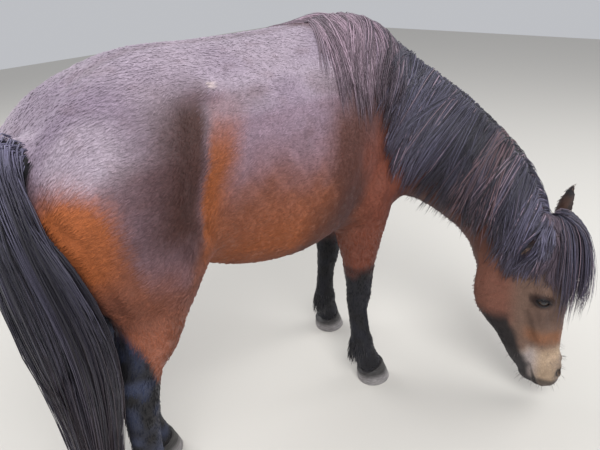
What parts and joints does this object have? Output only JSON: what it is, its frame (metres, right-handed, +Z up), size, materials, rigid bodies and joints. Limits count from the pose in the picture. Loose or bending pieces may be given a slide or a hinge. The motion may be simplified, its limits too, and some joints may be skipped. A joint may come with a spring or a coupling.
{
  "type": "shetland pony",
  "caption": "Still, life-size Shetland pony grazing with its neck turned to its right, with full mane, forelock and tail.",
  "frame": {"origin": "on the ground, under the middle of the outline", "axes": "+X forward along the trunk, +Y to the pony's left, +Z up"},
  "size_m": [1.2054, 0.838, 1.0065],
  "materials": {
    "coat": "short brown coat with a mauve-grey roan sheen, lying flat",
    "leg_coat": "short black coat with a blue-grey sheen",
    "long_hair": "long straight black hair, faded brown at places, softly glossy",
    "horn": "dull grey hoof horn with fine growth rings",
    "eye": "dark brown, wet and glossy"
  },
  "bodies": {
    "root": {"torso": "coat", "neck": "coat", "head": "coat", "ear_right": "coat", "eye_right": "eye", "ear_left": "coat", "eye_left": "eye", "leg_fore_right": "leg_coat", "hoof_fore_right": "horn", "leg_fore_left": "leg_coat", "hoof_fore_left": "horn", "leg_hind_right": "leg_coat", "hoof_hind_right": "horn", "leg_hind_left": "leg_coat", "hoof_hind_left": "horn", "mane": "long_hair", "forelock": "long_hair", "tail": "long_hair"}
  },
  "joints": []
}
